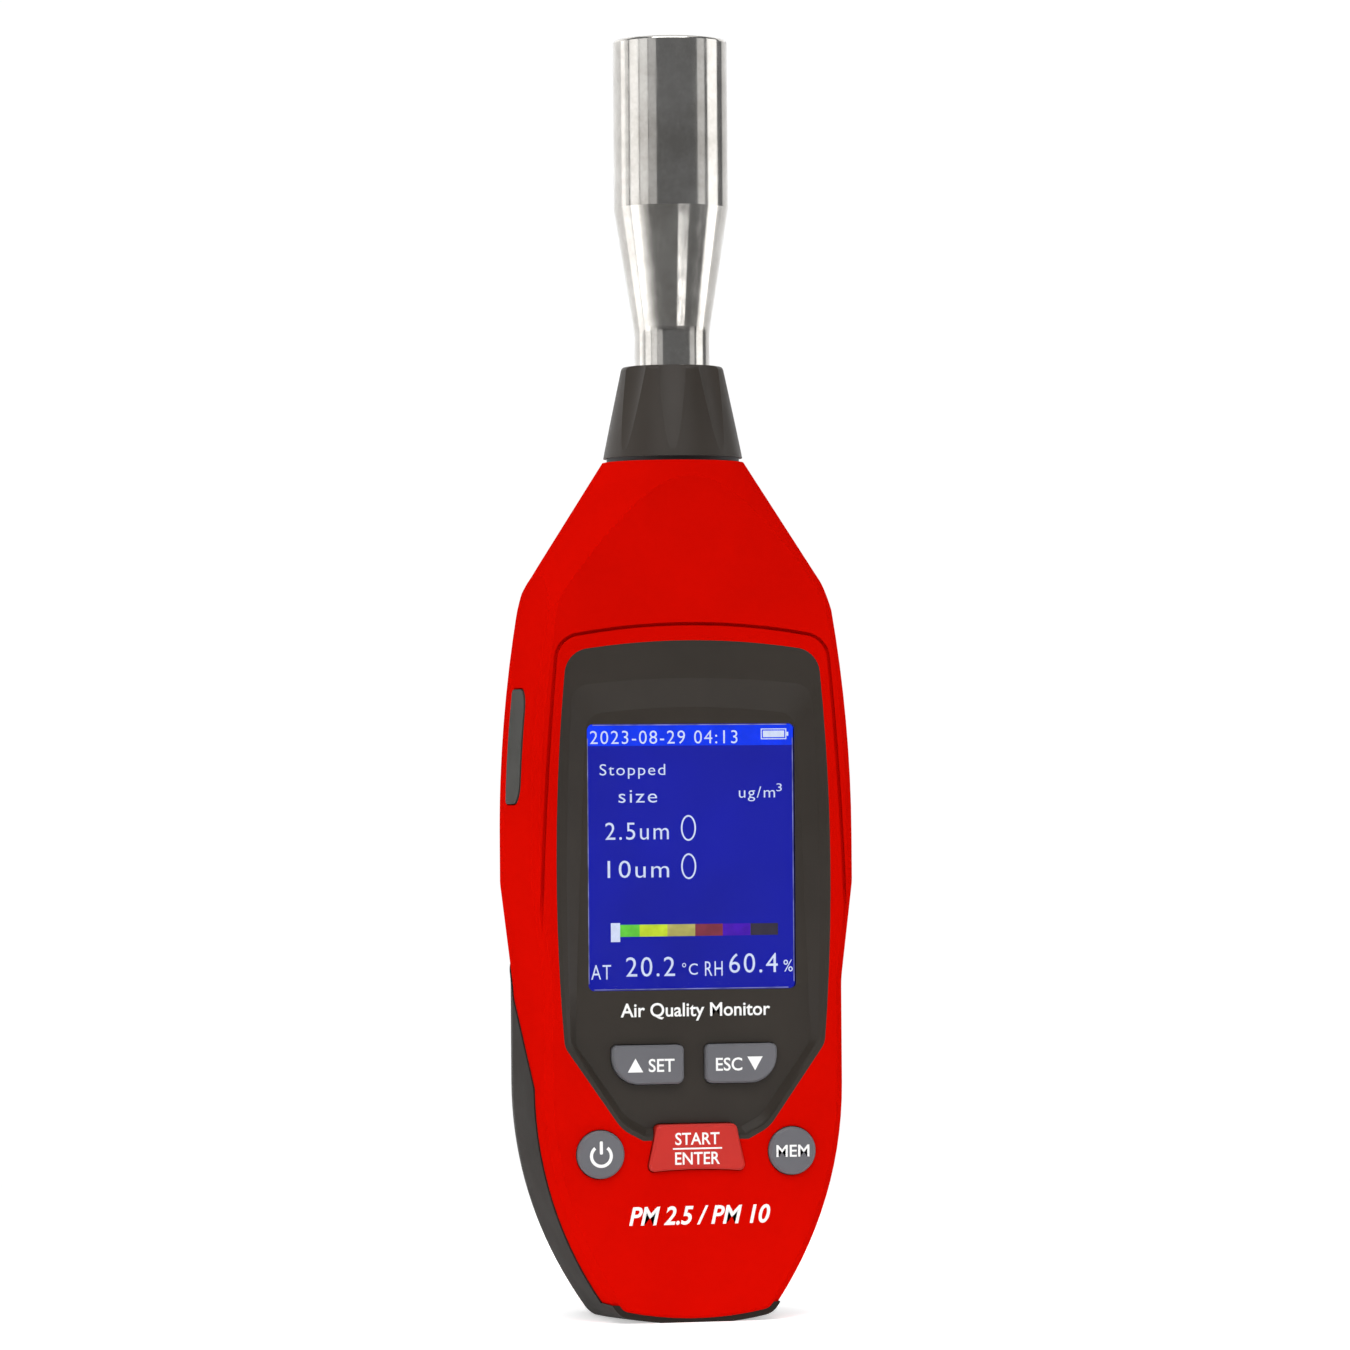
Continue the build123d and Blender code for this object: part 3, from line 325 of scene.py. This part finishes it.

# painted highlight: thin glowing strips along the window's four edges stand in for the light that the glass
# catches there
painted_edge_glint = lit("lcd_painted_edge_glint", (0.20, 0.21, 0.42), 1.0, 0.5, 260)
lit_plate("lcd_edge", [
    oblong(across(0.0) + 0.20, middle_z - 0.6, 0.22, screen_h - 3.4),
    oblong(across(1.0) - 0.16, middle_z - 0.6, 0.14, screen_h - 3.4),
    oblong(0, down(0.0) - 0.16, screen_w - 2.2, 0.14),
    oblong(0, down(1.0) + 0.16, screen_w - 2.2, 0.14)], painted_edge_glint, EDGE_Y)

# the header, with the clock and the battery's symbol
lit_plate("lcd_header", [oblong(0, down(0.042), screen_w - 0.1, 0.080 * screen_h)], lcd_bar, COLOUR_Y)
lit_words("lcd_clock", "2023-08-29 04:13", 0.02, 0.050, 2.1, 0.71)
battery_x, battery_z = across(0.905), down(0.040)
lit_plate("lcd_battery_rim", [
    oblong(battery_x, battery_z + 0.78, 4.2, 0.16), oblong(battery_x, battery_z - 0.78, 4.2, 0.16),
    oblong(battery_x - 2.02, battery_z, 0.16, 1.40), oblong(battery_x + 2.02, battery_z, 0.16, 1.40),
    oblong(battery_x + 2.27, battery_z, 0.30, 0.62)], lcd_white, SYMBOL_Y)
lit_plate("lcd_battery_fill", [oblong(battery_x, battery_z, 3.5, 1.05)], lcd_white, SYMBOL_Y)

# the state, the unit and the two counts
lit_words("lcd_state", "Stopped", 0.065, 0.178, 2.35, 0.315)
lit_words("lcd_size", "size", 0.155, 0.272, 2.0, 0.185)
lit_words("lcd_unit", "ug/m", 0.735, 0.266, 2.35, 0.175)
lit_words("lcd_unit_power", "3", 0.917, 0.242, 1.25, 0.026)
lit_words("lcd_row_fine", "2.5um", 0.09, 0.402, 2.75, 0.305)
lit_words("lcd_row_coarse", "10um", 0.10, 0.545, 2.75, 0.295)
for row, name in ((0.392, "lcd_count_fine"), (0.536, "lcd_count_coarse")):
    zero_x, zero_z = across(0.490), down(row)
    lit_plate(name, [arc_band(zero_x, zero_z, 2.05, (0.98, 1.78), 0, 180, 0.60),
                     arc_band(zero_x, zero_z, 2.05, (0.98, 1.78), 180, 360, 0.60)], lcd_white, TEXT_Y)

# the air quality scale, with its marker at the clean end
SCALE = [("green", (0.13, 0.62, 0.05)), ("lime", (0.56, 0.72, 0.03)), ("khaki", (0.46, 0.42, 0.12)),
         ("russet", (0.22, 0.035, 0.055)), ("violet", (0.065, 0.006, 0.44)), ("umber", (0.035, 0.028, 0.045))]
scale_left, scale_right = across(0.118), across(0.920)
step = (scale_right - scale_left) / len(SCALE)
for i, (name, colour) in enumerate(SCALE):
    lit_plate("lcd_scale_" + name, [oblong(scale_left + (i + 0.5) * step, down(0.776), step, 1.9)],
              lit("lcd_" + name, colour, 1.0, 0.12, 500), COLOUR_Y)
lit_plate("lcd_marker", [oblong(scale_left + 0.60, down(0.782), 1.5, 3.0)], lcd_white, MARKER_Y)

# the air's temperature and humidity
lit_words("lcd_air", "AT", 0.018, 0.930, 2.3, 0.095)
lit_words("lcd_air_value", "20.2", 0.185, 0.912, 3.1, 0.235)
lit_words("lcd_air_unit", "°C", 0.455, 0.922, 1.9, 0.075, bold=0.0)
lit_words("lcd_damp", "RH", 0.565, 0.922, 2.3, 0.085)
lit_words("lcd_damp_value", "60.4", 0.682, 0.903, 3.1, 0.235)
lit_words("lcd_damp_unit", "%", 0.945, 0.915, 1.9, 0.045, bold=0.0)

# ---- printed on the panel, the keys and the body ----
def front(node):
    """Y of a node's front face."""
    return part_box(node)[0].y / MM


def print_words(name, text, x, z, height, width, face_y, body, bold=0.012, lean=0.0):
    """White printed words with their middle at (x, z)."""
    return words(name, text, x, z, height, face_y, ink, body, bold, lean, width)


def print_on_key(name, text, x, z, height, width, key):
    """White printed words on a key, which has the same name as its body."""
    return print_words(name, text, x, z, height, width, front(key), key)


def print_shape(name, outline, key):
    """A white printed shape on a key."""
    return plate(name, [outline], front(key), INK_THICK, ink, key)


PANEL_RISE = 0.3        # how far the panel stands in front of the window's face
print_words("panel_words", "Air Quality Monitor", 0.4, 49.2, 2.9, 24.4, glass_y - PANEL_RISE, "housing", 0.014)
print_on_key("set_words", "SET", -5.5, 40.8, 2.1, 4.2, "set_key")
print_shape("set_arrow", [(-11.0, 39.75), (-8.5, 39.75), (-9.75, 41.95)], "set_key")
print_on_key("esc_words", "ESC", 5.5, 40.8, 2.1, 4.3, "esc_key")
print_shape("esc_arrow", [(8.5, 41.95), (11.0, 41.95), (9.75, 39.75)], "esc_key")
print_on_key("start_words", "START", 0, 29.15, 1.95, 7.2, "start_key")
print_on_key("enter_words", "ENTER", 0, 26.05, 1.95, 7.3, "start_key")
print_shape("start_rule", oblong(0, 27.6, 8.0, 0.25), "start_key")
print_on_key("mem_words", "MEM", 15.6, 26.9, 1.9, 5.4, "mem_key")
print_shape("power_ring", arc_band(-15.6, 26.7, 1.85, (1.35, 1.35), 38, 322), "power_key")
print_shape("power_bar", oblong(-15.6, 28.0, 0.5, 2.1, 0.2), "power_key")
print_words("body_words", "PM 2.5 / PM 10", 0.5, 17.0, 3.0, 23.0, front("front_cover"), "housing", 0.02, 0.25)

# ---- floor and backdrop, in metres ----
def backdrop(name, rows, finish):
    """A stage surface through rows of points."""
    mesh = bpy.data.meshes.new(name)
    shape = bmesh.new()
    rows = [[shape.verts.new(point) for point in row] for row in rows]
    for row, after in zip(rows, rows[1:]):
        for i in range(len(row) - 1):
            strip = shape.faces.new((row[i], after[i], after[i + 1], row[i + 1]))
            strip.smooth = True
    shape.to_mesh(mesh)
    shape.free()
    mesh.materials.append(finish)
    stage = bpy.data.objects.new(name, mesh)
    bpy.context.scene.collection.objects.link(stage)
    return stage


def fade(tree, value, start, end):
    """Goes smoothly from 0 to 1 as a value goes from start to end."""
    mapped = tree.nodes.new("ShaderNodeMapRange")
    mapped.interpolation_type = "SMOOTHSTEP"
    mapped.inputs["From Min"].default_value = start
    mapped.inputs["From Max"].default_value = end
    tree.links.new(value, mapped.inputs["Value"])
    return mapped.outputs["Result"]


# the floor and the wall behind it, which light the object; the floor darkens towards the front
floor_finish = new_material("pale_floor", 0.75)
floor_tree = floor_finish.node_tree
floor_shader = floor_tree.nodes["Principled BSDF"]
floor_place = floor_tree.nodes.new("ShaderNodeTexCoord")
floor_axes = floor_tree.nodes.new("ShaderNodeSeparateXYZ")
floor_tree.links.new(floor_place.outputs["Object"], floor_axes.inputs["Vector"])
floor_pale = fade(floor_tree, floor_axes.outputs["Y"], -0.50, -0.05)
tint(floor_tree, floor_shader.inputs["Base Color"], floor_pale, (0.13, 0.13, 0.13), (0.92, 0.92, 0.92), (0, 1))
floor_glow = floor_tree.nodes.new("ShaderNodeMath")
floor_glow.operation = "MULTIPLY"
floor_glow.inputs[1].default_value = 0.46
floor_tree.links.new(floor_pale, floor_glow.inputs[0])
floor_tree.links.new(floor_glow.outputs["Value"], floor_shader.inputs["Emission Strength"])
floor_shader.inputs["Emission Color"].default_value = (1, 1, 1, 1)

FLOOR_SIDE, FLOOR_FRONT, FLOOR_BACK = 3.2, -1.7, 0.9
WALL_BEND, WALL_TOP = 0.7, 3.2
backdrop("studio_floor", [[(x, FLOOR_FRONT, 0), (x, FLOOR_BACK, 0)] for x in (-FLOOR_SIDE, FLOOR_SIDE)],
         floor_finish)
curve = [(FLOOR_BACK + WALL_BEND * sin(radians(t)), WALL_BEND * (1 - cos(radians(t)))) for t in range(0, 91, 6)]
curve.append((FLOOR_BACK + WALL_BEND, WALL_TOP))
wall = backdrop("studio_wall", [[(x, y, z) for y, z in curve] for x in (-FLOOR_SIDE, FLOOR_SIDE)], floor_finish)
wall.visible_camera = False

# all that shows beyond the object's own patch of floor: one pale bowl that lights nothing
pale = new_material("pale_bowl", 0.9, 0.0, Specular_IOR_Level=0.0, Emission_Strength=1.02)
pale_tree = pale.node_tree
pale_shader = pale_tree.nodes["Principled BSDF"]
pale_shader.inputs["Base Color"].default_value = (0, 0, 0, 1)
pale_shader.inputs["Emission Color"].default_value = (1, 1, 1, 1)
pale_place = pale_tree.nodes.new("ShaderNodeTexCoord")
pale_reach = pale_tree.nodes.new("ShaderNodeVectorMath")
pale_reach.operation = "LENGTH"
pale_tree.links.new(pale_place.outputs["Object"], pale_reach.inputs[0])
pale_tree.links.new(fade(pale_tree, pale_reach.outputs["Value"], 0.12, 0.34), pale_shader.inputs["Alpha"])

# the bowl's section from its inner edge to its rim, as distances from the middle and heights
BOWL = [(0.11, 0.0006), (0.5, 0.0006), (11.0, 0.0006), (12.0, 1.0), (12.0, 9.0)]
bowl = backdrop("studio_bowl", [[(r * sin(radians(t)), r * cos(radians(t)), z) for r, z in BOWL]
                                for t in range(0, 361, 10)], pale)
for ray in ("diffuse", "glossy", "transmission", "shadow"):
    setattr(bowl, "visible_" + ray, False)

# ---- light ----
MIDDLE = Vector((0, 0, 0.10))


def heading(azimuth, elevation):
    """A unit vector. Azimuth 0 is in front and 90 to the right."""
    a, e = radians(azimuth), radians(elevation)
    return Vector((sin(a) * cos(e), -cos(a) * cos(e), sin(e)))


def softbox(name, azimuth, elevation, distance, size, power):
    """A rectangular softbox aimed at the object, sizes in metres and power in watts."""
    lamp = bpy.data.lights.new(name, "AREA")
    lamp.shape = "RECTANGLE"
    lamp.size, lamp.size_y = size
    lamp.energy = power
    box = bpy.data.objects.new(name, lamp)
    away = heading(azimuth, elevation)
    box.location = MIDDLE + away * distance
    box.rotation_mode = "QUATERNION"
    box.rotation_quaternion = away.to_track_quat("Z", "Y")
    box.visible_camera = False
    bpy.context.scene.collection.objects.link(box)


softbox("front_top", -13, 50, 1.3, (1.4, 0.7), 14.5)
softbox("left_back", -118, 4, 1.0, (0.42, 0.6), 0.68)
softbox("left_side", -91, 5, 1.0, (0.40, 0.7), 1.20)
softbox("left_front", -68, 4, 1.1, (0.36, 0.8), 0.80)
softbox("left_fill", -49, 15, 1.2, (0.34, 0.8), 0.38)
softbox("right_front", 52, 3, 1.2, (0.36, 0.9), 0.62)
softbox("right_side", 82, 5, 1.0, (0.50, 0.8), 1.90)
softbox("low_strip", 14, -7.7, 0.66, (0.26, 0.022), 0.058)
softbox("top", 0, 86, 1.5, (1.6, 1.2), 5)
softbox("back_left", -150, 35, 1.2, (0.8, 0.8), 0.6)
softbox("back_right", 140, 35, 1.2, (0.8, 0.8), 0.5)

world = bpy.data.worlds.new("studio")
bpy.context.scene.world = world
world.use_nodes = True
background = world.node_tree.nodes["Background"]
background.inputs["Color"].default_value = (0.95, 0.97, 1.0, 1)
background.inputs["Strength"].default_value = 0.18

# ---- camera, at the photograph's angle ----
AZIMUTH, ELEVATION, ROLL, DISTANCE = -13.1, -0.9, -0.42, 0.98
LOOKED_AT = Vector((0.0004, 0, 0.1029))
camera_data = bpy.data.cameras.new("camera")
camera_data.lens = 162.2
camera_data.sensor_width = 36.0
camera_data.clip_start = 0.05
camera_data.clip_end = 20
camera = bpy.data.objects.new("camera", camera_data)
back = heading(AZIMUTH, ELEVATION)
camera.location = LOOKED_AT + back * DISTANCE
camera.rotation_mode = "QUATERNION"
camera.rotation_quaternion = (-back).to_track_quat("-Z", "Y") @ Quaternion((0, 0, 1), radians(ROLL))
bpy.context.scene.collection.objects.link(camera)
bpy.context.scene.camera = camera
bpy.context.scene.view_settings.view_transform = "Standard"
